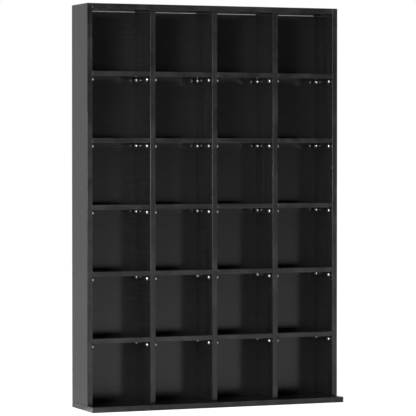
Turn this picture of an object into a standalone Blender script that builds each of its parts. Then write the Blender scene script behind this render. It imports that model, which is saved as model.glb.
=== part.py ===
"""Tall open cube unit for disc cases, in black wood-effect board.

Side panels, dividers and a top board stand on a deeper base board. Loose shelves lie on metal studs
that are pressed into the uprights, and a thin back panel slides in grooves behind each column.
Units are metres, +Z is up, the front faces -Y, and the origin is the centre of the base's footprint.
"""
import math

import bmesh
import bpy
from mathutils import Matrix, Vector

# Overall sizes
WIDTH = 0.880
HEIGHT = 1.305
PANEL_DEPTH = 0.150
BASE_OVERHANG = 0.050
COLUMNS = 4
ROWS = 6

# Boards
UPRIGHT_THICKNESS = 0.018
SHELF_THICKNESS = 0.016
TOP_THICKNESS = 0.018
BASE_THICKNESS = 0.018
BACK_THICKNESS = 0.003
EDGE_EASE = 0.001

# Fits between the boards
FIT_GAP = 0.0003
SHELF_SIDE_CLEARANCE = 0.0005
SHELF_BACK_CLEARANCE = 0.001
BACK_INSET = 0.0085
BACK_TOP_GAP = 0.0008
GROOVE_DEPTH = 0.005

# Shelf studs
STUD_DIAMETER = 0.017
STUD_REACH = 0.010
STUD_ROUNDING = 0.004
STUD_ROUNDING_STEPS = 2
STUD_INSET = 0.020
STUD_SIDES = 12

# Screws that come up through the base board
SCREW_LENGTH = 0.050
SCREW_HEAD_DIAMETER = 0.010
SCREW_RIM = 0.001
SCREW_NECK_DIAMETER = 0.007
SCREW_NECK_LENGTH = 0.013
SCREW_CORE_DIAMETER = 0.005
SCREW_POINT_DIAMETER = 0.002
SCREW_POINT_LENGTH = 0.003
SCREW_RECESS = 0.0005
SOCKET_WIDTH = 0.004
SOCKET_DEPTH = 0.003

# Cam locks in the ends of the top board, and their bolts in the side panels
CAM_DIAMETER = 0.015
CAM_HEIGHT = 0.0125
CAM_DISTANCE = 0.024
CAM_CHANNEL_WIDTH = 0.008
CAM_SLOT_WIDTH = 0.0015
CAM_SLOT_LENGTH = 0.009
CAM_SLOT_DEPTH = 0.002
BOLT_THREAD_DIAMETER = 0.005
BOLT_THREAD_LENGTH = 0.011
BOLT_SHAFT_DIAMETER = 0.006
BOLT_HEAD_DIAMETER = 0.0072
BOLT_HEAD_LENGTH = 0.003

# Dowels between the dividers and the top board
DOWEL_DIAMETER = 0.008
DOWEL_LENGTH = 0.030
DOWEL_IN_TOP = 0.010
DOWEL_CHAMFER = 0.001

# Every fastener's distance from the front or rear edge of the uprights, and its number of sides
FASTENER_INSET = 0.032
FASTENER_SIDES = 12

# How far a cutter runs out past the face that it cuts
OVERRUN = 0.002

# Places worked out from the sizes above
BASE_DEPTH = PANEL_DEPTH + BASE_OVERHANG
BASE_FRONT = -BASE_DEPTH / 2
FRONT = BASE_FRONT + BASE_OVERHANG
REAR = FRONT + PANEL_DEPTH
CLEAR_WIDTH = (WIDTH - (COLUMNS + 1) * UPRIGHT_THICKNESS) / COLUMNS
CLEAR_HEIGHT = (HEIGHT - BASE_THICKNESS - TOP_THICKNESS - (ROWS - 1) * SHELF_THICKNESS) / ROWS
INNER_SIDE = WIDTH / 2 - UPRIGHT_THICKNESS
UPRIGHT_FOOT = BASE_THICKNESS + FIT_GAP
TOP_UNDERSIDE = HEIGHT - TOP_THICKNESS
BACK_REAR = REAR - BACK_INSET
BACK_FRONT = BACK_REAR - BACK_THICKNESS
SHELF_WIDTH = CLEAR_WIDTH - 2 * SHELF_SIDE_CLEARANCE
SHELF_DEPTH = BACK_FRONT - SHELF_BACK_CLEARANCE - FRONT
FASTENER_ROWS = {"front": FRONT + FASTENER_INSET, "rear": REAR - FASTENER_INSET}
STUD_ROWS = (FRONT + STUD_INSET, FRONT + SHELF_DEPTH - STUD_INSET)

# Directions for turned pieces, whose own axis is Z
ALONG_X = Matrix.Rotation(math.pi / 2, 4, "Y")
AGAINST_X = Matrix.Rotation(-math.pi / 2, 4, "Y")
UPWARDS = Matrix.Identity(4)

# Colour, roughness and metallic value of each finish
FINISHES = {
    "black_board": ((0.028, 0.028, 0.030, 1.0), 0.55, 0.0),
    "black_sheet": ((0.020, 0.020, 0.022, 1.0), 0.60, 0.0),
    "zinc_plated": ((0.62, 0.62, 0.60, 1.0), 0.35, 1.0),
    "plain_wood": ((0.55, 0.40, 0.24, 1.0), 0.80, 0.0),
}


def clear_scene():
    for item in list(bpy.data.objects):
        bpy.data.objects.remove(item, do_unlink=True)


def upright_left_face(index):
    """X of the left face of an upright, counted from 0 at the left side panel."""
    return -WIDTH / 2 + index * (CLEAR_WIDTH + UPRIGHT_THICKNESS)


def upright_centre(index):
    return upright_left_face(index) + UPRIGHT_THICKNESS / 2


def shelf_underside(level):
    """Z of the underside of the shelves at a level, counted from 1 at the lowest."""
    return BASE_THICKNESS + level * CLEAR_HEIGHT + (level - 1) * SHELF_THICKNESS


def add_block(mesh, low, high):
    """Add a box between two corners."""
    low = Vector(low)
    high = Vector(high)
    size = high - low
    place = Matrix.Translation((low + high) / 2) @ Matrix.Diagonal((*size, 1.0))
    bmesh.ops.create_cube(mesh, size=1.0, matrix=place)


def add_turned(mesh, profile, place, sides):
    """Add a solid turned from (radius, height) points about its own Z axis, with flat ends."""
    rings = []
    for radius, height in profile:
        ring = []
        for step in range(sides):
            angle = 2 * math.pi * step / sides
            point = Vector((radius * math.cos(angle), radius * math.sin(angle), height))
            ring.append(mesh.verts.new(place @ point))
        rings.append(ring)
    for lower, upper in zip(rings, rings[1:]):
        for step in range(sides):
            after = (step + 1) % sides
            mesh.faces.new((lower[step], lower[after], upper[after], upper[step]))
    mesh.faces.new(reversed(rings[0]))
    mesh.faces.new(rings[-1])


def at(x, y, z, direction=UPWARDS):
    return Matrix.Translation((x, y, z)) @ direction


def finish_material(name, finish):
    colour, roughness, metallic = FINISHES[finish]
    material = bpy.data.materials.new(f"{name}_{finish}")
    material.use_nodes = True
    shader = material.node_tree.nodes["Principled BSDF"]
    shader.inputs["Base Color"].default_value = colour
    shader.inputs["Roughness"].default_value = roughness
    shader.inputs["Metallic"].default_value = metallic
    return material


def mesh_from(name, build):
    """Make a mesh datablock from a function that fills a bmesh."""
    work = bmesh.new()
    build(work)
    mesh = bpy.data.meshes.new(name)
    work.to_mesh(mesh)
    work.free()
    return mesh


def add_piece(name, mesh, finish, location=(0.0, 0.0, 0.0)):
    """Place one sub-part, with a material of its own, under the unit's empty."""
    piece = bpy.data.objects.new(name, mesh)
    bpy.context.collection.objects.link(piece)
    piece.location = location
    piece.parent = bpy.data.objects["unit"]
    if not mesh.materials:
        mesh.materials.append(None)
    slot = piece.material_slots[0]
    slot.link = "OBJECT"
    slot.material = finish_material(name, finish)
    return piece


def add_tool(name, build):
    """Make a body that only cuts or joins, and isn't part of the model."""
    tool = bpy.data.objects.new(name, mesh_from(name, build))
    bpy.context.collection.objects.link(tool)
    tool.hide_render = True
    tool.display_type = "WIRE"
    return tool


def ease_edges(piece):
    bevel = piece.modifiers.new("eased_edges", "BEVEL")
    bevel.width = EDGE_EASE
    bevel.segments = 1


def combine(piece, label, operation, build):
    """Cut from a piece, or join to it, what a function draws."""
    boolean = piece.modifiers.new(label, "BOOLEAN")
    boolean.solver = "EXACT"
    boolean.operation = operation
    boolean.object = add_tool(f"{piece.name}_{label}", build)


def board(name, low, high, finish="black_board"):
    """A board with lightly eased edges, placed by its corners, with its origin at its centre."""
    centre = (Vector(low) + Vector(high)) / 2
    half = (Vector(high) - Vector(low)) / 2
    piece = add_piece(name, mesh_from(name, lambda mesh: add_block(mesh, -half, half)), finish, centre)
    ease_edges(piece)
    return piece


def stud_profile(start):
    """Radius and height of a stud's turned head, from a height inside the wall to its rounded end."""
    radius = STUD_DIAMETER / 2
    profile = [(radius, start)]
    for step in range(STUD_ROUNDING_STEPS + 1):
        angle = math.pi / 2 * step / STUD_ROUNDING_STEPS
        inset = STUD_ROUNDING * (1.0 - math.cos(angle))
        rise = STUD_ROUNDING * math.sin(angle)
        profile.append((radius - inset, STUD_REACH - STUD_ROUNDING + rise))
    return profile


def stud_places():
    """Y and Z of every stud on one face of an upright: it touches the shelf that it carries."""
    for level in range(1, ROWS):
        height = shelf_underside(level) - FIT_GAP - STUD_DIAMETER / 2
        for depth in STUD_ROWS:
            yield depth, height


def add_studs(mesh, face, direction):
    """Studs on one face of an upright; each starts at half the board's thickness."""
    for depth, height in stud_places():
        place = at(face, depth, height, direction)
        add_turned(mesh, stud_profile(-UPRIGHT_THICKNESS / 2), place, STUD_SIDES)


def add_through_studs(mesh, centre):
    """Studs that stand out on both faces of a divider, each pair joined through the board."""
    outward = stud_profile(0.0)[1:]
    half = UPRIGHT_THICKNESS / 2
    right_end = [(radius, height + half) for radius, height in outward]
    left_end = [(radius, -height) for radius, height in reversed(right_end)]
    for depth, height in stud_places():
        add_turned(mesh, left_end + right_end, at(centre, depth, height, ALONG_X), STUD_SIDES)


def add_groove(mesh, face, inward, top):
    """Upright groove for a back panel's edge; inward is the sign of X from the face into the board."""
    mouth = face - inward * OVERRUN
    floor = face + inward * GROOVE_DEPTH
    low = (min(mouth, floor), BACK_FRONT - FIT_GAP, UPRIGHT_FOOT - OVERRUN)
    high = (max(mouth, floor), BACK_REAR + FIT_GAP, top + OVERRUN)
    add_block(mesh, low, high)


def screw_profile():
    """Radius and height of a screw, from its flat head upwards."""
    head = SCREW_HEAD_DIAMETER / 2
    neck = SCREW_NECK_DIAMETER / 2
    core = SCREW_CORE_DIAMETER / 2
    return [
        (head, 0.0),
        (head, SCREW_RIM),
        (neck, SCREW_RIM + head - neck),
        (neck, SCREW_NECK_LENGTH),
        (core, SCREW_NECK_LENGTH + neck - core),
        (core, SCREW_LENGTH - SCREW_POINT_LENGTH),
        (SCREW_POINT_DIAMETER / 2, SCREW_LENGTH),
    ]


def add_screw_bore(mesh, centre, depth):
    """The screw's own profile, wider by the fit, open at the base board's underside."""
    widened = [(radius + FIT_GAP, SCREW_RECESS + height) for radius, height in screw_profile()[:5]]
    mouth = (widened[0][0], -OVERRUN)
    end = (widened[-1][0], SCREW_RECESS + SCREW_LENGTH + FIT_GAP)
    add_turned(mesh, [mouth] + widened[1:] + [end], at(centre, depth, 0.0), FASTENER_SIDES)


def add_screw_bores(mesh, indices):
    for index in indices:
        for depth in FASTENER_ROWS.values():
            add_screw_bore(mesh, upright_centre(index), depth)


def add_dowel_bores(mesh, indices, low, high):
    radius = DOWEL_DIAMETER / 2 + FIT_GAP
    for index in indices:
        for depth in FASTENER_ROWS.values():
            profile = [(radius, low), (radius, high)]
            add_turned(mesh, profile, at(upright_centre(index), depth, 0.0), FASTENER_SIDES)


def bolt_height():
    return TOP_UNDERSIDE + TOP_THICKNESS / 2


def side_direction(side):
    """Direction from a side panel into the unit."""
    return ALONG_X if side < 0 else AGAINST_X


def add_thread_bores(mesh, side):
    """Blind bores in a side panel's inner face for the cam bolts' threads."""
    radius = BOLT_THREAD_DIAMETER / 2 + FIT_GAP
    profile = [(radius, -BOLT_THREAD_LENGTH - FIT_GAP), (radius, OVERRUN)]
    for depth in FASTENER_ROWS.values():
        place = at(side * INNER_SIDE, depth, bolt_height(), side_direction(side))
        add_turned(mesh, profile, place, FASTENER_SIDES)


def add_shaft_bores(mesh):
    """Bores in the top board's ends, from outside the board to the middle of each cam."""
    radius = BOLT_HEAD_DIAMETER / 2 + FIT_GAP
    profile = [(radius, -OVERRUN), (radius, CAM_DISTANCE)]
    for side in (-1, 1):
        for depth in FASTENER_ROWS.values():
            place = at(side * INNER_SIDE, depth, bolt_height(), side_direction(side))
            add_turned(mesh, profile, place, FASTENER_SIDES)


def add_cam_bores(mesh):
    radius = CAM_DIAMETER / 2 + FIT_GAP
    profile = [(radius, -OVERRUN), (radius, CAM_HEIGHT + 2 * FIT_GAP)]
    for side in (-1, 1):
        for depth in FASTENER_ROWS.values():
            centre = side * (INNER_SIDE - CAM_DISTANCE)
            add_turned(mesh, profile, at(centre, depth, TOP_UNDERSIDE), FASTENER_SIDES)


def make_base_board():
    low = (-WIDTH / 2, BASE_FRONT, 0.0)
    high = (WIDTH / 2, REAR, BASE_THICKNESS)
    base = board("base_board", low, high)
    combine(base, "screw_bores", "DIFFERENCE", lambda mesh: add_screw_bores(mesh, range(COLUMNS + 1)))


def make_top_board():
    low = (-INNER_SIDE + FIT_GAP, FRONT, TOP_UNDERSIDE)
    high = (INNER_SIDE - FIT_GAP, REAR, HEIGHT)
    top = board("top_board", low, high)
    bore_low = TOP_UNDERSIDE - OVERRUN
    bore_high = TOP_UNDERSIDE + DOWEL_IN_TOP + FIT_GAP
    combine(top, "cam_bores", "DIFFERENCE", add_cam_bores)
    combine(top, "shaft_bores", "DIFFERENCE", add_shaft_bores)
    combine(top, "dowel_bores", "DIFFERENCE",
            lambda mesh: add_dowel_bores(mesh, range(1, COLUMNS), bore_low, bore_high))


def make_side_panel(name, index, side):
    left = upright_left_face(index)
    low = (left, FRONT, UPRIGHT_FOOT)
    high = (left + UPRIGHT_THICKNESS, REAR, HEIGHT)
    panel = board(name, low, high)
    face = side * INNER_SIDE
    combine(panel, "groove", "DIFFERENCE", lambda mesh: add_groove(mesh, face, side, HEIGHT))
    combine(panel, "screw_bores", "DIFFERENCE", lambda mesh: add_screw_bores(mesh, [index]))
    combine(panel, "thread_bores", "DIFFERENCE", lambda mesh: add_thread_bores(mesh, side))
    combine(panel, "studs", "UNION", lambda mesh: add_studs(mesh, face, side_direction(side)))


def make_divider(index):
    left = upright_left_face(index)
    right = left + UPRIGHT_THICKNESS
    top = TOP_UNDERSIDE - FIT_GAP
    divider = board(f"divider_{index}", (left, FRONT, UPRIGHT_FOOT), (right, REAR, top))
    bore_low = TOP_UNDERSIDE + DOWEL_IN_TOP - DOWEL_LENGTH - FIT_GAP

    def add_grooves(mesh):
        add_groove(mesh, left, 1, top)
        add_groove(mesh, right, -1, top)

    combine(divider, "grooves", "DIFFERENCE", add_grooves)
    combine(divider, "screw_bores", "DIFFERENCE", lambda mesh: add_screw_bores(mesh, [index]))
    combine(divider, "dowel_bores", "DIFFERENCE",
            lambda mesh: add_dowel_bores(mesh, [index], bore_low, top + OVERRUN))
    combine(divider, "studs", "UNION", lambda mesh: add_through_studs(mesh, upright_centre(index)))


def make_shelves():
    """Loose shelves, flush with the uprights in front; each one's origin is at its centre."""
    half = Vector((SHELF_WIDTH, SHELF_DEPTH, SHELF_THICKNESS)) / 2
    shape = mesh_from("shelf", lambda mesh: add_block(mesh, -half, half))
    for column in range(1, COLUMNS + 1):
        middle = upright_left_face(column) - CLEAR_WIDTH / 2
        for level in range(1, ROWS):
            place = (middle, FRONT + half.y, shelf_underside(level) + half.z)
            shelf = add_piece(f"shelf_c{column}_l{level}", shape, "black_board", place)
            ease_edges(shelf)


def make_back_panels():
    """Thin sheets that slide in the uprights' grooves and end short of the top board."""
    reach = GROOVE_DEPTH - FIT_GAP
    for column in range(1, COLUMNS + 1):
        right = upright_left_face(column)
        left = right - CLEAR_WIDTH
        low = Vector((left - reach, BACK_FRONT, UPRIGHT_FOOT))
        high = Vector((right + reach, BACK_REAR, TOP_UNDERSIDE - BACK_TOP_GAP))
        half = (high - low) / 2
        shape = mesh_from("back_panel", lambda mesh: add_block(mesh, -half, half))
        add_piece(f"back_panel_{column}", shape, "black_sheet", (low + high) / 2)


def make_screws():
    """Countersunk screws with a six-sided socket, standing on their heads."""
    shape = mesh_from("screw", lambda mesh: add_turned(mesh, screw_profile(), UPWARDS, FASTENER_SIDES))
    corner = SOCKET_WIDTH / 2 / math.cos(math.pi / 6)
    profile = [(corner, -OVERRUN), (corner, SOCKET_DEPTH)]
    for index in range(COLUMNS + 1):
        for row, depth in FASTENER_ROWS.items():
            place = (upright_centre(index), depth, SCREW_RECESS)
            screw = add_piece(f"base_screw_{index + 1}_{row}", shape, "zinc_plated", place)
            combine(screw, "socket", "DIFFERENCE",
                    lambda mesh: add_turned(mesh, profile, at(*place), 6))


def cam_tools(centre, depth, side):
    """The channel that takes the bolt's head, and the driver's slot, of one cam."""
    half_channel = CAM_CHANNEL_WIDTH / 2
    rim = centre + side * (CAM_DIAMETER / 2 + OVERRUN)
    stop = centre - side * half_channel
    half_slot = Vector((CAM_SLOT_LENGTH, CAM_SLOT_WIDTH, 0.0)) / 2
    slot_centre = Vector((centre, depth, TOP_UNDERSIDE))

    def add_channel(mesh):
        low = (min(rim, stop), depth - half_channel, bolt_height() - half_channel)
        high = (max(rim, stop), depth + half_channel, TOP_UNDERSIDE + CAM_HEIGHT + OVERRUN)
        add_block(mesh, low, high)

    def add_slot(mesh):
        low = slot_centre - half_slot - Vector((0.0, 0.0, OVERRUN))
        high = slot_centre + half_slot + Vector((0.0, 0.0, FIT_GAP + CAM_SLOT_DEPTH))
        add_block(mesh, low, high)

    return add_channel, add_slot


def make_cams():
    radius = CAM_DIAMETER / 2
    body = [(radius, 0.0), (radius, CAM_HEIGHT)]
    shape = mesh_from("cam", lambda mesh: add_turned(mesh, body, UPWARDS, FASTENER_SIDES))
    for side, label in ((-1, "left"), (1, "right")):
        centre = side * (INNER_SIDE - CAM_DISTANCE)
        for row, depth in FASTENER_ROWS.items():
            add_channel, add_slot = cam_tools(centre, depth, side)
            place = (centre, depth, TOP_UNDERSIDE + FIT_GAP)
            cam = add_piece(f"cam_{label}_{row}", shape, "zinc_plated", place)
            combine(cam, "channel", "DIFFERENCE", add_channel)
            combine(cam, "slot", "DIFFERENCE", add_slot)


def make_cam_bolts():
    """Bolts that screw into the side panels and reach the middle of each cam."""
    thread = BOLT_THREAD_DIAMETER / 2
    shaft = BOLT_SHAFT_DIAMETER / 2
    head = BOLT_HEAD_DIAMETER / 2
    tip = CAM_DISTANCE - FIT_GAP
    profile = [
        (thread, -BOLT_THREAD_LENGTH),
        (thread, 0.0),
        (shaft, FIT_GAP),
        (shaft, tip - BOLT_HEAD_LENGTH),
        (head, tip - BOLT_HEAD_LENGTH + head - shaft),
        (head, tip),
    ]
    shape = mesh_from("cam_bolt", lambda mesh: add_turned(mesh, profile, UPWARDS, FASTENER_SIDES))
    for side, label in ((-1, "left"), (1, "right")):
        for row, depth in FASTENER_ROWS.items():
            place = (side * INNER_SIDE, depth, bolt_height())
            bolt = add_piece(f"cam_bolt_{label}_{row}", shape, "zinc_plated", place)
            bolt.rotation_euler = side_direction(side).to_euler()


def make_dowels():
    radius = DOWEL_DIAMETER / 2
    profile = [
        (radius - DOWEL_CHAMFER, 0.0),
        (radius, DOWEL_CHAMFER),
        (radius, DOWEL_LENGTH - DOWEL_CHAMFER),
        (radius - DOWEL_CHAMFER, DOWEL_LENGTH),
    ]
    shape = mesh_from("dowel", lambda mesh: add_turned(mesh, profile, UPWARDS, FASTENER_SIDES))
    for index in range(1, COLUMNS):
        for row, depth in FASTENER_ROWS.items():
            place = (upright_centre(index), depth, TOP_UNDERSIDE + DOWEL_IN_TOP - DOWEL_LENGTH)
            add_piece(f"dowel_{index}_{row}", shape, "plain_wood", place)


def build_unit():
    clear_scene()
    unit = bpy.data.objects.new("unit", None)
    bpy.context.collection.objects.link(unit)
    make_base_board()
    make_top_board()
    make_side_panel("side_panel_left", 0, -1)
    make_side_panel("side_panel_right", COLUMNS, 1)
    for index in range(1, COLUMNS):
        make_divider(index)
    make_shelves()
    make_back_panels()
    make_screws()
    make_cams()
    make_cam_bolts()
    make_dowels()


build_unit()
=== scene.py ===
"""Looks of a tall open cube unit for disc cases, in black wood-effect board.

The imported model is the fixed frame. Each board is made again with its edge strips, rounded arrises,
grooves and bores, and the shelf studs, screws, cam locks, bolts and dowels are turned or cut as the real
ones are. Units are metres, +Z is up and the front faces -Y.
"""

import math

import bmesh
import bpy
import numpy as np
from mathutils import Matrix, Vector


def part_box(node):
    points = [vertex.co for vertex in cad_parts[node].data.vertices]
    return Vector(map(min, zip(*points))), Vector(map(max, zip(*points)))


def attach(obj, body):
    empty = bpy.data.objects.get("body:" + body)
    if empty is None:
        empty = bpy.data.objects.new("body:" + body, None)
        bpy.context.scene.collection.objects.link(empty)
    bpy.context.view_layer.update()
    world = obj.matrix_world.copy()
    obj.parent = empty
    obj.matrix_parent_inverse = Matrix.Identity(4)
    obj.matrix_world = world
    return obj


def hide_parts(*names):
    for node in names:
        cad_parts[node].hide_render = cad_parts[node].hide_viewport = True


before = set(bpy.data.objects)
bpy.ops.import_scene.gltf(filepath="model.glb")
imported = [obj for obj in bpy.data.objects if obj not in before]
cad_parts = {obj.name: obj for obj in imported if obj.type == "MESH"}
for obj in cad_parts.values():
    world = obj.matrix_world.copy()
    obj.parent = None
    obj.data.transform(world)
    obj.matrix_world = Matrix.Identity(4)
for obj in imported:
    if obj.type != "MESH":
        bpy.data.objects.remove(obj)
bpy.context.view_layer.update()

BODY = "frame"
COLUMNS = 4
LEVELS = 5
FASTENER_ROWS = ("front", "rear")

# Places read from the frame
BASE_LOW, BASE_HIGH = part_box("base_board")
TOP_LOW, TOP_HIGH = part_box("top_board")
BOARD = TOP_HIGH.z - TOP_LOW.z
INNER_SIDE = BASE_HIGH.x - BOARD

# Fits between the pieces
FIT_GAP = 0.0003
GROOVE_DEPTH = 0.005

# Board edges
ARRIS = 0.0010
ARRIS_STEPS = 4
SHEET_ARRIS = 0.0004
SHEET_ARRIS_STEPS = 2

# Shelf studs: a neck at the wall, and a round head that carries the shelf
STUD_RADIUS = 0.0085
STUD_REACH = 0.010
STUD_INSET = 0.020
STUD_SIDES = 40
STUD_NECK_RADIUS = 0.0060
STUD_NECK_LENGTH = 0.0022
STUD_SHOULDER = 0.0012
STUD_ROUNDING = 0.0042
DOME_HEIGHT = 0.0005
DOME_STEPS = 4

# Screws, cam locks and bolts
FASTENER_SIDES = 32
SCREW_HEAD_RADIUS = 0.005
SCREW_RIM = 0.001
SCREW_NECK_RADIUS = 0.0035
SCREW_NECK_END = 0.013
SCREW_CORE_RADIUS = 0.0025
SCREW_LENGTH = 0.050
SCREW_POINT = 0.004
SCREW_PITCH = 0.003
THREAD_DEPTH = 0.0007
SOCKET_ACROSS = 0.004
SOCKET_DEPTH = 0.003
SOCKET_CONE = 0.001
THREAD_RUN_IN = 0.0005
THREAD_POWER = 2.2
THREAD_MEAN = 0.55
THREAD_TIP_SHARE = 0.25
ROWS_PER_PITCH = 10
CAM_RADIUS = 0.0075
CAM_HEIGHT = 0.0125
CAM_CHAMFER = 0.0005
CAM_DISTANCE = 0.024
CAM_CHANNEL = 0.008
CAM_CHANNEL_STEPS = 2
SLOT_LENGTH = 0.009
SLOT_WIDTH = 0.0015
SLOT_DEPTH = 0.002
SLOT_ARRIS = 0.0002
BOLT_THREAD_RADIUS = 0.0025
BOLT_THREAD_SINK = 0.0002
BOLT_THREAD_LENGTH = 0.011
BOLT_PITCH = 0.0018
BOLT_THREAD_DEPTH = 0.0005
BOLT_COLLAR_RISE = 0.0005
BOLT_COLLAR_TOP = 0.0022
BOLT_SHAFT_START = 0.0028
BOLT_SHAFT_RADIUS = 0.003
BOLT_SHAFT_SINK = 0.0006
BOLT_HEAD_RADIUS = 0.0036
BOLT_HEAD_LENGTH = 0.003
BOLT_HEAD_GAP = 0.001
BOLT_HEAD_RISE = 0.0012
BOLT_HEAD_SINK = 0.0004
BOLT_END_SHARE = 0.4

# Dowels
DOWEL_RADIUS = 0.004
DOWEL_CHAMFER = 0.001
DOWEL_FLUTES = 16
SIDES_PER_FLUTE = 6
FLUTE_DEPTH = 0.00025

# How far a cutter runs out past the face that it cuts, and how near points are welded
OVERRUN = 0.002
WELD = 1e-6

# Camera, fitted to the photograph's corners
CAMERA_PLACE = (-2.9917, -7.3357, 0.8480)
CAMERA_HEADING = 22.162
CAMERA_DOWN = 0.971
CAMERA_LENS = 209.2
CAMERA_SHIFT = -0.05
CAMERA_FAR = 200.0
SENSOR_WIDTH = 36.0

# Studio floor: its albedo, and what camera rays see on top of it
FLOOR_HALF = 40.0
FLOOR_COLOUR = 0.82
FLOOR_ROUGH = 0.9
FLOOR_CLOTH = 0.10
FLOOR_TOP_UP = 0.78
CLOTH_TOP_UP = 0.20

# The dark cloth, from nothing to full: left of its line, along Y, and by distance from the middle
CLOTH_BEARING = 33.0
CLOTH_LEFT = (0.2, 0.7)
CLOTH_FRONT = (-0.1, -0.6)
CLOTH_END = (4.5, 3.0)

# What mirror rays see on top of the floor, and the stretches of X and Y over which it comes and goes
MIRROR_FRONT = 0.42
MIRROR_FRONT_Y = (-0.5, 0.5)
MIRROR_FRONT_X = (-0.6, 0.0)
MIRROR_BESIDE = 0.08
MIRROR_REAR = 0.30
MIRROR_REAR_Y = (0.0, 6.0)
MIRROR_REAR_START = (-0.1, 0.1)
# A painted reflection: a bright patch by the left front corner that only mirror rays see, set to brighten the
# end of the base's overhang
PAINTED_REFLECTION_PATCH = 0.95
PAINTED_REFLECTION_PATCH_X = ((-0.75, -0.60), (-0.30, -0.42))
PAINTED_REFLECTION_PATCH_Y = ((-0.25, -0.15), (0.07, -0.03))

# Room and lamps
ROOM_BRIGHT = 0.57
ROOM_EDGE = (-0.35, 0.15)
KEY_LOW = {"bearing": 50.0, "elevation": 1.6, "distance": 7.0, "width": 3.0, "height": 1.0, "radiance": 28.0}
KEY_HIGH = {"bearing": 50.0, "elevation": 25.4, "distance": 7.0, "width": 3.0, "height": 5.0, "radiance": 6.8}
FILL_BOX = {"bearing": 20.0, "elevation": 8.0, "distance": 3.0, "width": 1.2, "height": 1.2, "radiance": 0.84}
MIDDLE = (0.0, 0.0, 0.65)

# Linear colours of the finishes
BOARD_DARK = (0.0030, 0.0030, 0.0031, 1.0)
BOARD_LIGHT = (0.0150, 0.0150, 0.0153, 1.0)
BOARD_PORE = (0.004, 0.004, 0.004, 1.0)
STRIP_DARK = (0.0050, 0.0050, 0.0051, 1.0)
STRIP_LIGHT = (0.0210, 0.0210, 0.0213, 1.0)
STRIP_RUB = (0.060, 0.060, 0.061, 1.0)
SHEET_DARK = (0.0125, 0.0125, 0.0127, 1.0)
SHEET_LIGHT = (0.0145, 0.0145, 0.0148, 1.0)
FIBRE_DARK = (0.030, 0.022, 0.016, 1.0)
FIBRE_LIGHT = (0.075, 0.056, 0.040, 1.0)
NICKEL_DARK = (0.62, 0.62, 0.61, 1.0)
NICKEL_LIGHT = (0.80, 0.80, 0.785, 1.0)
ZINC_DARK = (0.50, 0.51, 0.53, 1.0)
ZINC_LIGHT = (0.68, 0.69, 0.71, 1.0)
BEECH_DARK = (0.50, 0.34, 0.19, 1.0)
BEECH_LIGHT = (0.66, 0.49, 0.30, 1.0)
BEECH_PORE = (0.30, 0.18, 0.09, 1.0)
WHITE = (1.0, 1.0, 1.0, 1.0)

# Roughness of the finishes, and what the grain's tone and pores, strips and the raw rear add to it
BOARD_SHINE = 0.18
BOARD_TONE_SHINE = 0.05
BOARD_PORE_SHINE = 0.15
STRIP_SHINE = 0.06
SHEET_SHINE = 0.19
SHEET_TONE_SHINE = 0.01
RAW_SHINE = 0.6
NICKEL_SHINE = 0.18
ZINC_SHINE = 0.30
PLATING_TONE_SHINE = 0.06
BEECH_SHINE = 0.62
BEECH_TONE_SHINE = 0.12

# Depth of the embossed grain on boards and sheets, its share on strips and on the sheets' front, and
# depths of the plating's marks and the dowels' grain
GRAIN_DEPTH = 0.00012
GRAIN_STRENGTH = 0.25
STRIP_BUMP = 0.3
SHEET_BUMP = 0.05
PLATING_DEPTH = 0.00004
PLATING_STRENGTH = 0.12
BEECH_DEPTH = 0.00015
BEECH_STRENGTH = 0.4

# Scales of the grain's noises along and across the board, per metre
FIGURE_SCALE = (1.2, 90.0, 90.0)
FIBRE_SCALE = (7.0, 420.0, 420.0)
PORE_SCALE = (42.0, 1500.0, 1500.0)
CROWDING_SCALE = (3.0, 55.0, 55.0)
FIGURE_HEIGHT = 2.6
FIBRE_HEIGHT = 0.35
PORE_LIMIT = 0.80
PORE_CROWDING = 0.30
PORE_EDGE = 9.0
LOT_SHIFT = (3.7, 5.3, 7.9)

# Scales of the rub, the wiping marks and the plating's marks, per metre
RUB_SCALE = 14.0
CLOUD_SCALE = 9.0
WIPE_SCALE = (10.0, 10.0, 34.0)
PLATING_CLOUDS = 260.0
PLATING_SPECKS = 1900.0
TURNING_SHAPE = (1.0, 0.06, 0.06)

# The raw rear of the back sheets
RAW_FIBRES = 900.0
SCREEN_SCALE = 180.0
SCREEN_WAVER = 0.6


class Shape:
    """Points and faces gathered from several surfaces. Each face is smooth or flat, and plain or strip."""

    def __init__(self):
        self.points = []
        self.faces = []
        self.smooth = []
        self.strip = []

    def add(self, points, faces, smooth, strip=0.0):
        """Append a surface; smooth and strip are one value, or one for each face."""
        start = sum(len(block) for block in self.points)
        self.points.append(np.asarray(points, float).reshape(-1, 3))
        self.faces.extend([tuple(int(corner) + start for corner in face) for face in faces])
        self.smooth.extend(np.broadcast_to(smooth, len(faces)).tolist())
        self.strip.extend(np.broadcast_to(strip, len(faces)).tolist())
        return self

    def join(self, other):
        """Append all surfaces of another shape."""
        if other.points:
            self.add(np.concatenate(other.points), other.faces, other.smooth, other.strip)
        return self


def grid_faces(rows, columns):
    """Quads of a grid of rows by columns points whose last column meets its first."""
    index = np.arange(rows * columns).reshape(rows, columns)
    index = np.concatenate([index, index[:, :1]], axis=1)
    corners = [index[:-1, :-1], index[:-1, 1:], index[1:, 1:], index[1:, :-1]]
    return np.stack(corners, axis=-1).reshape(-1, 4)


def turn_axes(points, along):
    """Points drawn with their length along Z, turned so that it runs along the named axis."""
    if along == "x":
        return points[..., [2, 0, 1]]
    return points


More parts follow.
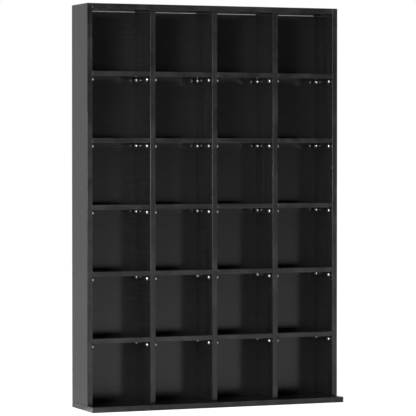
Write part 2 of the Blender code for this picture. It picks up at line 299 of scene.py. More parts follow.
def outline(low, high, radius, steps, grooves=()):
    """Rounded rectangle as anchor points plus a radius times outward directions.

    A corner's anchor lies one radius inside both sides, and its directions sweep a quarter turn. A groove
    is (side, near, far, depth): its two mouth points lie on the side at first = low or high, and its two
    floor points have no direction, so that they stay put where the ends are rounded.
    """
    anchors = []
    directions = []
    arcs = []
    quarter = np.linspace(0.0, math.pi / 2, steps + 1)
    for corner, (first, second) in enumerate(((1, 0), (1, 1), (0, 1), (0, 0))):
        angle = quarter + (corner - 1) * math.pi / 2
        anchor = (
            high[0] - radius if first else low[0] + radius,
            high[1] - radius if second else low[1] + radius,
        )
        anchors += [anchor] * (steps + 1)
        directions += np.stack([np.cos(angle), np.sin(angle)], axis=-1).tolist()
        arcs += [True] * steps + [False]
        for side, near, far, depth in grooves:
            if corner == (0 if side > 0 else 2):
                face = high[0] if side > 0 else low[0]
                mouth = (near, far) if side > 0 else (far, near)
                anchors += [
                    (face - side * radius, mouth[0]), (face - side * depth, mouth[0]),
                    (face - side * depth, mouth[1]), (face - side * radius, mouth[1]),
                ]
                directions += [[side, 0.0], [0.0, 0.0], [0.0, 0.0], [side, 0.0]]
                arcs += [False] * 4
    return np.array(anchors), np.array(directions), np.array(arcs)


def board_shape(low, high, along, radius=ARRIS, steps=ARRIS_STEPS, grooves=(), banded="low"):
    """A board with rounded arrises: its outline is carried from end to end along one axis.

    At the angle t of an end's quarter turn, a point is its anchor plus radius * sin(t) * its direction,
    and lies radius * (1 - cos(t)) inside that end. Corners so become parts of a sphere. The edge strips
    are the ends and the side at the low or high second coordinate, with the arrises beside it.
    """
    low = np.array(low, float)
    high = np.array(high, float)
    order = [1, 2, 0] if along == "x" else [0, 1, 2]
    low = low[order]
    high = high[order]
    anchors, directions, arcs = outline(low[:2], high[:2], radius, steps, grooves)
    turn = np.linspace(0.0, math.pi / 2, steps + 1)
    reach = radius * np.concatenate([np.sin(turn), np.sin(turn[::-1])])
    inset = radius * (1.0 - np.cos(turn))
    height = np.concatenate([low[2] + inset, high[2] - inset[::-1]])
    flat = anchors[None] + reach[:, None, None] * directions[None]
    rows, columns = flat.shape[:2]
    points = np.concatenate([flat, np.broadcast_to(height[:, None, None], (rows, columns, 1))], axis=-1)
    smooth = np.broadcast_to(arcs, (rows - 1, columns)).copy()
    smooth[:steps] = True
    smooth[steps + 1:] = True
    strip = np.zeros((rows - 1, columns))
    strip[:steps] = 1.0
    strip[steps + 1:] = 1.0
    following = np.roll(points[steps, :, :2], -1, axis=0)
    middle = (points[steps, :, :2] + following) / 2
    across = 0 if along == "x" else 1
    edge = low[across] + radius if banded == "low" else high[across] - radius
    on_edge = middle[:, across] < edge if banded == "low" else middle[:, across] > edge
    strip[:, on_edge] = 1.0
    shape = Shape()
    shape.add(turn_axes(points, along), grid_faces(rows, columns), smooth.ravel(), strip.ravel())
    cap = np.arange(columns)
    shape.add(turn_axes(points[0], along), [cap[::-1]], False, 1.0)
    shape.add(turn_axes(points[-1], along), [cap], False, 1.0)
    return shape


def turned_shape(profile, sides, wave=None):
    """Radius and height points turned about Z: x = r cos(a), y = r sin(a), closed by flat ends.

    wave(angle, height, radius) may return a grid of radii, for a thread or for flutes.
    """
    profile = np.array(profile, float)
    angle = np.linspace(0.0, 2 * math.pi, sides, endpoint=False)
    radius = np.repeat(profile[:, :1], sides, axis=1)
    height = np.repeat(profile[:, 1:], sides, axis=1)
    if wave:
        radius = wave(angle[None], height, radius)
    points = np.stack([radius * np.cos(angle), radius * np.sin(angle), height], axis=-1)
    rings = np.arange(sides)
    shape = Shape()
    shape.add(points, grid_faces(len(profile), sides), True)
    shape.add(points[0], [rings[::-1]], False)
    shape.add(points[-1], [rings], False)
    return shape


def moved(shape, place, direction="up"):
    """A copy of a turned shape, stood up or laid along +X or -X, with its foot at a place."""
    turns = {
        "up": np.eye(3),
        "right": np.array([[0.0, 0.0, 1.0], [0.0, 1.0, 0.0], [-1.0, 0.0, 0.0]]),
        "left": np.array([[0.0, 0.0, -1.0], [0.0, 1.0, 0.0], [1.0, 0.0, 0.0]]),
    }
    copy = Shape()
    points = np.concatenate(shape.points) @ turns[direction].T + np.array(place, float)
    return copy.add(points, shape.faces, shape.smooth, shape.strip)


def quarter_round(start, end, steps, bulge_first):
    """Points of a quarter ellipse between two (radius, height) points, without its start."""
    angle = np.linspace(0.0, math.pi / 2, steps + 1)[1:]
    rise = 1.0 - np.cos(angle)
    run = np.sin(angle)
    first, second = (run, rise) if bulge_first else (rise, run)
    return [
        (start[0] + (end[0] - start[0]) * a, start[1] + (end[1] - start[1]) * b)
        for a, b in zip(first, second)
    ]


def piece(name, shape, material, lot=0.0):
    """Put a shape into a mesh, weld its seams and poles, and keep each face's finish as attributes."""
    mesh = bpy.data.meshes.new(name)
    mesh.from_pydata(np.concatenate(shape.points).tolist(), [], shape.faces)
    values = mesh.attributes.new("strip", "FLOAT", "FACE")
    values.data.foreach_set("value", np.array(shape.strip, np.float32))
    values = mesh.attributes.new("lot", "FLOAT", "FACE")
    values.data.foreach_set("value", np.full(len(shape.faces), lot, np.float32))
    mesh.polygons.foreach_set("use_smooth", np.array(shape.smooth, bool))
    work = bmesh.new()
    work.from_mesh(mesh)
    bmesh.ops.remove_doubles(work, verts=work.verts, dist=WELD)
    bmesh.ops.recalc_face_normals(work, faces=work.faces)
    work.to_mesh(mesh)
    work.free()
    mesh.materials.append(material)
    made = bpy.data.objects.new(name, mesh)
    bpy.context.scene.collection.objects.link(made)
    return made


def cut(made, cutters):
    """Take closed cutters away from a piece and keep the result as its mesh."""
    tool = piece(made.name + "_tool", cutters, made.data.materials[0])
    boolean = made.modifiers.new("bores", "BOOLEAN")
    boolean.solver = "EXACT"
    boolean.operation = "DIFFERENCE"
    boolean.object = tool
    graph = bpy.context.evaluated_depsgraph_get()
    bored = bpy.data.meshes.new_from_object(made.evaluated_get(graph))
    made.modifiers.clear()
    made.data = bored
    bpy.data.objects.remove(tool)
    return made


def fit(made, body, slot, *nodes):
    """Let a piece ride on its body, in the place of the named nodes."""
    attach(made, body)
    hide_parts(*nodes)


# Shader helpers


def node(tree, kind, **values):
    made = tree.nodes.new(kind)
    for name, value in values.items():
        setattr(made, name, value)
    return made


def feed(tree, socket, value):
    """Link a socket to another, or set it to a plain value."""
    if isinstance(value, bpy.types.NodeSocket):
        tree.links.new(value, socket)
    elif value is not None:
        socket.default_value = value


def calculate(tree, operation, first, second=None, third=None, clamp=False):
    made = node(tree, "ShaderNodeMath", operation=operation, use_clamp=clamp)
    for socket, value in zip(made.inputs, (first, second, third)):
        feed(tree, socket, value)
    return made.outputs[0]


def spread(tree, value, low, high, to_low=0.0, to_high=1.0):
    """Map a value smoothly from low and high to two other values, and no further."""
    made = node(tree, "ShaderNodeMapRange", interpolation_type="SMOOTHSTEP")
    for name, given in zip(("Value", "From Min", "From Max", "To Min", "To Max"),
                           (value, low, high, to_low, to_high)):
        feed(tree, made.inputs[name], given)
    return made.outputs["Result"]


def stretch(tree, vector, scale):
    """Multiply a place by a scale for each axis."""
    made = node(tree, "ShaderNodeVectorMath", operation="MULTIPLY")
    feed(tree, made.inputs[0], vector)
    feed(tree, made.inputs[1], scale)
    return made.outputs[0]


def noise(tree, vector, scale, detail, roughness, distortion=0.0):
    made = node(tree, "ShaderNodeTexNoise", noise_dimensions="3D")
    feed(tree, made.inputs["Vector"], vector)
    feed(tree, made.inputs["Scale"], scale)
    feed(tree, made.inputs["Detail"], detail)
    feed(tree, made.inputs["Roughness"], roughness)
    feed(tree, made.inputs["Distortion"], distortion)
    return made.outputs["Fac"]


def blend_colours(tree, factor, first, second):
    made = node(tree, "ShaderNodeMix", data_type="RGBA", blend_type="MIX")
    feed(tree, made.inputs[0], factor)
    feed(tree, made.inputs[6], first)
    feed(tree, made.inputs[7], second)
    return made.outputs[2]


def attribute(tree, name):
    """A value that the mesh keeps for each face."""
    return node(tree, "ShaderNodeAttribute", attribute_name=name).outputs["Fac"]


def new_group(name, inputs, outputs):
    """A shader node group with named sockets: inputs are (name, kind, default), outputs (name, kind)."""
    group = bpy.data.node_groups.new(name, "ShaderNodeTree")
    for label, kind, default in inputs:
        socket = group.interface.new_socket(label, in_out="INPUT", socket_type=kind)
        if default is not None:
            socket.default_value = default
    for label, kind in outputs:
        group.interface.new_socket(label, in_out="OUTPUT", socket_type=kind)
    return group, node(group, "NodeGroupInput").outputs, node(group, "NodeGroupOutput").inputs


def place_group(tree, group, **values):
    """Put a group into a material; underscores in the given names stand for spaces."""
    made = node(tree, "ShaderNodeGroup", node_tree=group)
    for name, value in values.items():
        feed(tree, made.inputs[name.replace("_", " ")], value)
    return made.outputs


def make_wood_grain():
    """Printed and embossed grain that runs along X of its vector.

    Three noises are stretched along X: wide figure, narrow fibres, and short pores, cut off at a
    limit that a fourth noise moves. Tone mixes figure and fibres. Height is FIGURE_HEIGHT * figure +
    FIBRE_HEIGHT * fibres - pores. The lot shifts the pattern from board to board.
    """
    group, given, out = new_group(
        "wood_grain",
        [("Vector", "NodeSocketVector", None), ("Lot", "NodeSocketFloat", 0.0),
         ("Figure", "NodeSocketFloat", 0.5), ("Pore Share", "NodeSocketFloat", 0.4)],
        [("Tone", "NodeSocketFloat"), ("Pores", "NodeSocketFloat"), ("Height", "NodeSocketFloat")],
    )
    shift = node(group, "ShaderNodeVectorMath", operation="SCALE")
    feed(group, shift.inputs[0], LOT_SHIFT)
    feed(group, shift.inputs["Scale"], given["Lot"])
    place = node(group, "ShaderNodeVectorMath", operation="ADD")
    feed(group, place.inputs[0], given["Vector"])
    feed(group, place.inputs[1], shift.outputs[0])
    place = place.outputs[0]
    figure = noise(group, stretch(group, place, FIGURE_SCALE), 1.0, 3.0, 0.55, 0.4)
    fibres = noise(group, stretch(group, place, FIBRE_SCALE), 1.0, 3.0, 0.65)
    pores = noise(group, stretch(group, place, PORE_SCALE), 1.0, 1.0, 0.5)
    crowding = noise(group, stretch(group, place, CROWDING_SCALE), 1.0, 2.0, 0.5)
    limit = calculate(group, "MULTIPLY_ADD", crowding, -PORE_CROWDING, PORE_LIMIT)
    depth = calculate(group, "SUBTRACT", pores, limit)
    depth = calculate(group, "MULTIPLY", depth, PORE_EDGE, clamp=True)
    depth = calculate(group, "MULTIPLY", depth, given["Pore Share"], clamp=True)
    broad = spread(group, figure, 0.30, 0.70)
    narrow = spread(group, fibres, 0.25, 0.75)
    rest = calculate(group, "SUBTRACT", 1.0, given["Figure"])
    tone = calculate(group, "MULTIPLY", broad, given["Figure"])
    tone = calculate(group, "MULTIPLY_ADD", narrow, rest, tone)
    height = calculate(group, "MULTIPLY", narrow, FIBRE_HEIGHT)
    height = calculate(group, "MULTIPLY_ADD", broad, FIGURE_HEIGHT, height)
    height = calculate(group, "SUBTRACT", height, depth)
    feed(group, out["Tone"], tone)
    feed(group, out["Pores"], depth)
    feed(group, out["Height"], height)
    return group


def make_arris_wear():
    """Faint polish and rub along edge strips: the strip's mask times a patchy noise along its length."""
    group, given, out = new_group(
        "arris_wear",
        [("Vector", "NodeSocketVector", None), ("Strip", "NodeSocketFloat", 0.0),
         ("Amount", "NodeSocketFloat", 0.5)],
        [("Wear", "NodeSocketFloat")],
    )
    patches = noise(group, given["Vector"], RUB_SCALE, 4.0, 0.6)
    patches = spread(group, patches, 0.42, 0.72)
    worn = calculate(group, "MULTIPLY", patches, given["Strip"])
    feed(group, out["Wear"], calculate(group, "MULTIPLY", worn, given["Amount"], clamp=True))
    return group


def make_handling():
    """Soft wiping marks that change the shine: two broad noises, one of them stretched sideways."""
    group, given, out = new_group(
        "handling",
        [("Vector", "NodeSocketVector", None), ("Amount", "NodeSocketFloat", 0.05)],
        [("Shine", "NodeSocketFloat")],
    )
    clouds = noise(group, given["Vector"], CLOUD_SCALE, 3.0, 0.55)
    wipes = noise(group, stretch(group, given["Vector"], WIPE_SCALE), 1.0, 2.0, 0.5, 0.8)
    both = calculate(group, "ADD", clouds, wipes)
    both = calculate(group, "SUBTRACT", both, 1.0)
    feed(group, out["Shine"], calculate(group, "MULTIPLY", both, given["Amount"]))
    return group


def make_plating():
    """Bright plating: fine turning marks across the axis, specks, and a cloudy tone."""
    group, given, out = new_group(
        "plating",
        [("Vector", "NodeSocketVector", None), ("Mark Scale", "NodeSocketFloat", 2500.0)],
        [("Tone", "NodeSocketFloat"), ("Marks", "NodeSocketFloat")],
    )
    clouds = noise(group, given["Vector"], PLATING_CLOUDS, 3.0, 0.6)
    specks = noise(group, given["Vector"], PLATING_SPECKS, 2.0, 0.6)
    turning = stretch(group, given["Vector"], TURNING_SHAPE)
    turned = noise(group, turning, given["Mark Scale"], 2.0, 0.6)
    tone = calculate(group, "MULTIPLY_ADD", specks, 0.35, calculate(group, "MULTIPLY", clouds, 0.65))
    feed(group, out["Tone"], spread(group, tone, 0.3, 0.7))
    feed(group, out["Marks"], turned)
    return group


def new_material(name):
    material = bpy.data.materials.new(name)
    material.use_nodes = True
    tree = material.node_tree
    tree.nodes.clear()
    shader = node(tree, "ShaderNodeBsdfPrincipled")
    output = node(tree, "ShaderNodeOutputMaterial")
    tree.links.new(shader.outputs[0], output.inputs["Surface"])
    place = node(tree, "ShaderNodeTexCoord").outputs["Object"]
    return material, tree, shader, place


def add_bump(tree, shader, height, strength, distance):
    bump = node(tree, "ShaderNodeBump")
    bump.inputs["Strength"].default_value = strength
    bump.inputs["Distance"].default_value = distance
    feed(tree, bump.inputs["Height"], height)
    feed(tree, shader.inputs["Normal"], bump.outputs[0])


def make_board_material(name, turn, groups):
    """Black wood-effect board; turn brings the board's length onto the grain's X."""
    material, tree, shader, place = new_material(name)
    mapping = node(tree, "ShaderNodeMapping")
    mapping.inputs["Rotation"].default_value = turn
    feed(tree, mapping.inputs["Vector"], place)
    strip = attribute(tree, "strip")
    grain = place_group(tree, groups["wood_grain"], Vector=mapping.outputs[0], Lot=attribute(tree, "lot"),
                        Figure=0.65, Pore_Share=0.7)
    wear = place_group(tree, groups["arris_wear"], Vector=place, Strip=strip, Amount=0.35)
    shine = place_group(tree, groups["handling"], Vector=place, Amount=0.06)
    colour = blend_colours(tree, grain["Tone"], BOARD_DARK, BOARD_LIGHT)
    banding = blend_colours(tree, grain["Tone"], STRIP_DARK, STRIP_LIGHT)
    colour = blend_colours(tree, strip, colour, banding)
    colour = blend_colours(tree, grain["Pores"], colour, BOARD_PORE)
    colour = blend_colours(tree, wear["Wear"], colour, STRIP_RUB)
    feed(tree, shader.inputs["Base Color"], colour)
    rough = calculate(tree, "MULTIPLY_ADD", grain["Tone"], BOARD_TONE_SHINE,
                      BOARD_SHINE - BOARD_TONE_SHINE / 2)
    rough = calculate(tree, "MULTIPLY_ADD", grain["Pores"], BOARD_PORE_SHINE, rough)
    rough = calculate(tree, "MULTIPLY_ADD", strip, STRIP_SHINE, rough)
    rough = calculate(tree, "ADD", rough, shine["Shine"], clamp=True)
    feed(tree, shader.inputs["Roughness"], rough)
    level = calculate(tree, "MULTIPLY_ADD", strip, STRIP_BUMP - 1.0, 1.0)
    height = calculate(tree, "MULTIPLY", grain["Height"], level)
    add_bump(tree, shader, height, GRAIN_STRENGTH, GRAIN_DEPTH)
    return material


def make_sheet_material(groups):
    """Thin fibreboard: a black printed face in front, and a raw rear with a screen's marks, by strip."""
    material, tree, shader, place = new_material("black_sheet")
    grain = place_group(tree, groups["wood_grain"], Vector=place, Lot=attribute(tree, "lot"),
                        Figure=0.5, Pore_Share=0.6)
    shine = place_group(tree, groups["handling"], Vector=place, Amount=0.012)
    rear = attribute(tree, "strip")
    fibres = noise(tree, place, RAW_FIBRES, 4.0, 0.7)
    mesh_marks = node(tree, "ShaderNodeTexWave", wave_type="BANDS", bands_direction="X")
    cross_marks = node(tree, "ShaderNodeTexWave", wave_type="BANDS", bands_direction="Z")
    for marks in (mesh_marks, cross_marks):
        feed(tree, marks.inputs["Vector"], place)
        marks.inputs["Scale"].default_value = SCREEN_SCALE
        marks.inputs["Distortion"].default_value = SCREEN_WAVER
    screen = calculate(tree, "MULTIPLY", mesh_marks.outputs["Fac"], cross_marks.outputs["Fac"])
    face = blend_colours(tree, grain["Tone"], SHEET_DARK, SHEET_LIGHT)
    raw = blend_colours(tree, fibres, FIBRE_DARK, FIBRE_LIGHT)
    feed(tree, shader.inputs["Base Color"], blend_colours(tree, rear, face, raw))
    rough = calculate(tree, "MULTIPLY_ADD", grain["Tone"], SHEET_TONE_SHINE,
                      SHEET_SHINE - SHEET_TONE_SHINE / 2)
    rough = calculate(tree, "ADD", rough, shine["Shine"])
    raw_rough = calculate(tree, "MULTIPLY", rear, RAW_SHINE)
    feed(tree, shader.inputs["Roughness"], calculate(tree, "ADD", rough, raw_rough, clamp=True))
    rear_height = calculate(tree, "MULTIPLY_ADD", fibres, 0.5, screen)
    rear_height = calculate(tree, "MULTIPLY", rear_height, rear)
    height = calculate(tree, "ADD", calculate(tree, "MULTIPLY", grain["Height"], SHEET_BUMP), rear_height)
    add_bump(tree, shader, height, GRAIN_STRENGTH, GRAIN_DEPTH)
    return material


def make_metal_material(name, groups, dark, light, rough, marks, mark_scale):
    """Plated steel; the turning marks roughen it, and its tone makes it a little smoother."""
    material, tree, shader, place = new_material(name)
    shader.inputs["Metallic"].default_value = 1.0
    plating = place_group(tree, groups["plating"], Vector=place, Mark_Scale=mark_scale)
    feed(tree, shader.inputs["Base Color"], blend_colours(tree, plating["Tone"], dark, light))
    value = calculate(tree, "MULTIPLY_ADD", plating["Tone"], -PLATING_TONE_SHINE, rough + PLATING_TONE_SHINE)
    value = calculate(tree, "MULTIPLY_ADD", plating["Marks"], marks, value, clamp=True)
    feed(tree, shader.inputs["Roughness"], value)
    add_bump(tree, shader, plating["Marks"], PLATING_STRENGTH, PLATING_DEPTH)
    return material


def make_dowel_material(groups):
    """Plain beech whose grain runs up the dowel."""
    material, tree, shader, place = new_material("pressed_beech")
    mapping = node(tree, "ShaderNodeMapping")
    mapping.inputs["Rotation"].default_value = (0.0, math.pi / 2, 0.0)
    feed(tree, mapping.inputs["Vector"], place)
    grain = place_group(tree, groups["wood_grain"], Vector=mapping.outputs[0], Lot=0.3, Figure=0.3,
                        Pore_Share=0.9)
    colour = blend_colours(tree, grain["Tone"], BEECH_DARK, BEECH_LIGHT)
    colour = blend_colours(tree, grain["Pores"], colour, BEECH_PORE)
    feed(tree, shader.inputs["Base Color"], colour)
    rough = calculate(tree, "MULTIPLY_ADD", grain["Tone"], BEECH_TONE_SHINE, BEECH_SHINE)
    feed(tree, shader.inputs["Roughness"], rough)
    add_bump(tree, shader, grain["Height"], BEECH_STRENGTH, BEECH_DEPTH)
    return material


def make_materials():
    groups = {
        "wood_grain": make_wood_grain(),
        "arris_wear": make_arris_wear(),
        "handling": make_handling(),
        "plating": make_plating(),
    }
    return {
        "upright": make_board_material("black_board_upright", (0.0, math.pi / 2, 0.0), groups),
        "level": make_board_material("black_board_level", (0.0, 0.0, 0.0), groups),
        "sheet": make_sheet_material(groups),
        "nickel": make_metal_material("bright_nickel", groups, NICKEL_DARK, NICKEL_LIGHT, NICKEL_SHINE,
                                      marks=0.08, mark_scale=2500.0),
        "zinc": make_metal_material("clear_zinc", groups, ZINC_DARK, ZINC_LIGHT, ZINC_SHINE,
                                    marks=0.12, mark_scale=1800.0),
        "dowel": make_dowel_material(groups),
    }


# Places of uprights, studs and fasteners


def upright_name(index):
    if index == 0:
        return "side_panel_left"
    if index == COLUMNS:
        return "side_panel_right"
    return f"divider_{index}"


def upright_faces(index):
    """X of the left and right faces of an upright, from its node's box without its studs."""
    low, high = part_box(upright_name(index))
    if index == 0:
        return low.x, low.x + BOARD
    if index == COLUMNS:
        return high.x - BOARD, high.x
    middle = (low.x + high.x) / 2
    return middle - BOARD / 2, middle + BOARD / 2


def shelf_name(column, level):
    return f"shelf_c{column}_l{level}"


def stud_places():
    """Y and Z of every stud on one face of an upright; its top touches the shelf above it."""
    low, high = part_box(shelf_name(1, 1))
    for level in range(1, LEVELS + 1):
        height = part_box(shelf_name(1, level))[0].z - FIT_GAP - STUD_RADIUS
        for depth in (low.y + STUD_INSET, high.y - STUD_INSET):
            yield depth, height


def open_bore(radius, start, end):
    """A plain round cutter from a height to another."""
    return turned_shape([(radius, start), (radius, end)], FASTENER_SIDES)


def screw_profile(grow=0.0):
    """Radius and height of a screw's head and neck, wider by the given fit."""
    head = SCREW_HEAD_RADIUS + grow
    neck = SCREW_NECK_RADIUS + grow
    core = SCREW_CORE_RADIUS + grow
    return [
        (head, 0.0), (head, SCREW_RIM), (neck, SCREW_RIM + head - neck), (neck, SCREW_NECK_END),
        (core, SCREW_NECK_END + neck - core),
    ]


def screw_bores(indices):
    """Bores for the screws of some uprights, open under the base board."""
    cutters = Shape()
    for index in indices:
        for row in FASTENER_ROWS:
            low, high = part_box(f"base_screw_{index + 1}_{row}")
            profile = screw_profile(FIT_GAP)
            mouth = [(profile[0][0], -OVERRUN)]
            end = [(profile[-1][0], SCREW_LENGTH + FIT_GAP)]
            bore = turned_shape(mouth + profile[1:] + end, FASTENER_SIDES)
            place = ((low.x + high.x) / 2, (low.y + high.y) / 2, low.z)
            cutters.join(moved(bore, place))
    return cutters


def dowel_bores(indices, into_top):
    """Halves of the dowels' bores, in the top board or in the dividers."""
    cutters = Shape()
    for index in indices:
        for row in FASTENER_ROWS:
            low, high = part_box(f"dowel_{index}_{row}")
            start = TOP_LOW.z - OVERRUN if into_top else low.z - FIT_GAP
            end = high.z + FIT_GAP if into_top else TOP_LOW.z + OVERRUN
            bore = open_bore(DOWEL_RADIUS + FIT_GAP, 0.0, end - start)
            cutters.join(moved(bore, ((low.x + high.x) / 2, (low.y + high.y) / 2, start)))
    return cutters


def cam_place(label, row):
    """Side, centre and depth of a cam lock, and its bolt's height."""
    low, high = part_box(f"cam_bolt_{label}_{row}")
    side = -1 if label == "left" else 1
    centre = side * (INNER_SIDE - CAM_DISTANCE)
    return side, centre, (low.y + high.y) / 2, (low.z + high.z) / 2


def cam_cutters():
    """Round pockets for the cams under the top board, and the bolts' bores in its ends."""
    cutters = Shape()
    pocket = open_bore(CAM_RADIUS + FIT_GAP, 0.0, OVERRUN + CAM_HEIGHT + 2 * FIT_GAP)
    bore = open_bore(BOLT_HEAD_RADIUS + FIT_GAP, 0.0, OVERRUN + CAM_DISTANCE)
    for label in ("left", "right"):
        for row in FASTENER_ROWS:
            side, centre, depth, height = cam_place(label, row)
            cutters.join(moved(pocket, (centre, depth, TOP_LOW.z - OVERRUN)))
            start = side * (INNER_SIDE + OVERRUN)
            cutters.join(moved(bore, (start, depth, height), "right" if side < 0 else "left"))
    return cutters


def bolt_bores(label):
    """Blind bores for the cam bolts in one side panel."""
    cutters = Shape()
    bore = open_bore(BOLT_THREAD_RADIUS + FIT_GAP, 0.0, BOLT_THREAD_LENGTH + FIT_GAP + OVERRUN)
    for row in FASTENER_ROWS:
        side, _, depth, height = cam_place(label, row)
        start = side * (INNER_SIDE - OVERRUN)
        cutters.join(moved(bore, (start, depth, height), "left" if side < 0 else "right"))
    return cutters


# Boards


def dress_uprights(materials):
    """Side panels and dividers: one outline with its grooves, carried from the base upwards."""
    panel_low, panel_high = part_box("back_panel_1")
    for index in range(COLUMNS + 1):
        name = upright_name(index)
        low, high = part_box(name)
        left, right = upright_faces(index)
        grooves = []
        for side in (1, -1):
            if index + side in range(COLUMNS + 1):
                grooves.append((side, panel_low.y - FIT_GAP, panel_high.y + FIT_GAP, GROOVE_DEPTH))
        shape = board_shape((left, low.y, low.z), (right, high.y, high.z), "z", grooves=grooves)
        board = piece(f"{name}_board", shape, materials["upright"], lot=0.17 + 0.61 * index)
        cutters = screw_bores([index])
        if index in (0, COLUMNS):
            cutters.join(bolt_bores("left" if index == 0 else "right"))
        else:
            cutters.join(dowel_bores([index], into_top=False))
        fit(cut(board, cutters), BODY, "black_board", name)


def dress_base(materials):
    shape = board_shape(BASE_LOW, BASE_HIGH, "x")
    board = piece("base_board_board", shape, materials["level"], lot=4.3)
    fit(cut(board, screw_bores(range(COLUMNS + 1))), BODY, "black_board", "base_board")


def dress_top(materials):
    shape = board_shape(TOP_LOW, TOP_HIGH, "x")
    board = piece("top_board_board", shape, materials["level"], lot=5.9)
    cutters = cam_cutters().join(dowel_bores(range(1, COLUMNS), into_top=True))
    fit(cut(board, cutters), BODY, "black_board", "top_board")


def dress_shelves(materials):
    """Loose shelves, each on its own body."""
    for column in range(1, COLUMNS + 1):
        for level in range(1, LEVELS + 1):
            name = shelf_name(column, level)
            low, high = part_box(name)
            lot = 7.0 + 1.37 * column + 0.83 * level
            shelf = piece(f"{name}_board", board_shape(low, high, "x"), materials["level"], lot=lot)
            fit(shelf, name, "black_board", name)


def dress_back_panels(materials):
    """Thin sheets; their strip value marks the raw rear and edges."""
    for column in range(1, COLUMNS + 1):
        name = f"back_panel_{column}"
        low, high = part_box(name)
        foot = (low.x, low.y, BASE_HIGH.z)
        shape = board_shape(foot, high, "z", SHEET_ARRIS, SHEET_ARRIS_STEPS, banded="high")
        sheet = piece(f"{name}_sheet", shape, materials["sheet"], lot=2.1 * column)
        fit(sheet, BODY, "black_sheet", name)


# Studs and fasteners


def stud_shape():
    """Turned shelf stud, from the wall outwards: neck, rounded shoulder, head and low dome.

    The dome rises by its height * (1 - (1 - t)^2), t being the share of the way to the axis.
    """
    rim = STUD_RADIUS - STUD_ROUNDING
    rim_height = STUD_REACH - DOME_HEIGHT
    profile = [(0.0, 0.0), (STUD_NECK_RADIUS, 0.0), (STUD_NECK_RADIUS, STUD_NECK_LENGTH)]
    profile += [(STUD_RADIUS - STUD_SHOULDER, STUD_NECK_LENGTH)]
    profile += quarter_round(profile[-1], (STUD_RADIUS, STUD_NECK_LENGTH + STUD_SHOULDER), 4, True)
    profile += [(STUD_RADIUS, rim_height - STUD_ROUNDING)]
    profile += quarter_round(profile[-1], (rim, rim_height), 8, False)
    for step in np.linspace(0.0, 1.0, DOME_STEPS + 1)[1:]:
        profile.append((rim * (1.0 - step), rim_height + DOME_HEIGHT * (1.0 - (1.0 - step) ** 2)))
    return turned_shape(profile, STUD_SIDES)


def dress_studs(materials):
    """Ten studs on each inner face of the uprights, as one piece for each face."""
    stud = stud_shape()
    for index in range(COLUMNS + 1):
        left, right = upright_faces(index)
        for side, face, label in ((-1, left, "left"), (1, right, "right")):
            if index + side not in range(COLUMNS + 1):
                continue
            row = Shape()
            for depth, height in stud_places():
                row.join(moved(stud, (face, depth, height), "right" if side > 0 else "left"))
            name = upright_name(index)
            studs = piece(f"{name}_studs_{label}", row, materials["nickel"])
            fit(studs, BODY, "plated_steel", name)


def thread_heights(start, end, pitch):
    """Heights at even steps along a thread, so many to each turn."""
    return np.linspace(start, end, int(round((end - start) / pitch * ROWS_PER_PITCH)) + 1)


def pointed_thread(start, end, radius, point, pitch):
    """Radius and height along a thread that tapers to a blunt point over its last stretch."""
    height = thread_heights(start, end, pitch)
    taper = np.clip((end - height) / point, 0.0, 1.0)
    share = THREAD_TIP_SHARE + (1.0 - THREAD_TIP_SHARE) * taper
    return list(zip((radius * share).tolist(), height.tolist()))


def thread_wave(start, end, run_out, pitch, depth):
    """A wave for turned_shape: radius + depth * (ridge - its mean), faded in and out at the ends.

    The ridge is |2 * f - 1| to a power, f being the fraction of height / pitch - angle / a full turn.
    """

    def wave(angle, height, radius):
        phase = height / pitch - angle / (2 * math.pi)
        ridge = np.abs(2.0 * (phase - np.floor(phase)) - 1.0) ** THREAD_POWER
        fade = np.clip((height - start) / run_out, 0.0, 1.0) * np.clip((end - height) / run_out, 0.0, 1.0)
        return radius + depth * (ridge - THREAD_MEAN) * fade

    return wave


def dress_screws(materials):
    """Countersunk screws with a thread and a six-sided socket."""
    neck = screw_profile()
    thread_start = neck[-1][1]
    body = neck + pointed_thread(thread_start + THREAD_RUN_IN, SCREW_LENGTH, SCREW_CORE_RADIUS, SCREW_POINT,
                                 SCREW_PITCH)
    wave = thread_wave(thread_start, SCREW_LENGTH, SCREW_PITCH, SCREW_PITCH, THREAD_DEPTH)
    shape = turned_shape(body, FASTENER_SIDES, wave)
    corner = SOCKET_ACROSS / 2 / math.cos(math.pi / 6)
    profile = [(corner, -OVERRUN), (corner, SOCKET_DEPTH), (0.0, SOCKET_DEPTH + SOCKET_CONE)]
    socket = turned_shape(profile, 6)
    for index in range(1, COLUMNS + 2):
        for row in FASTENER_ROWS:
            name = f"base_screw_{index}_{row}"
            low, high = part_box(name)
            place = ((low.x + high.x) / 2, (low.y + high.y) / 2, low.z)
            screw = piece(f"{name}_turned", moved(shape, place), materials["zinc"])
            fit(cut(screw, moved(socket, place)), BODY, "plated_steel", name)


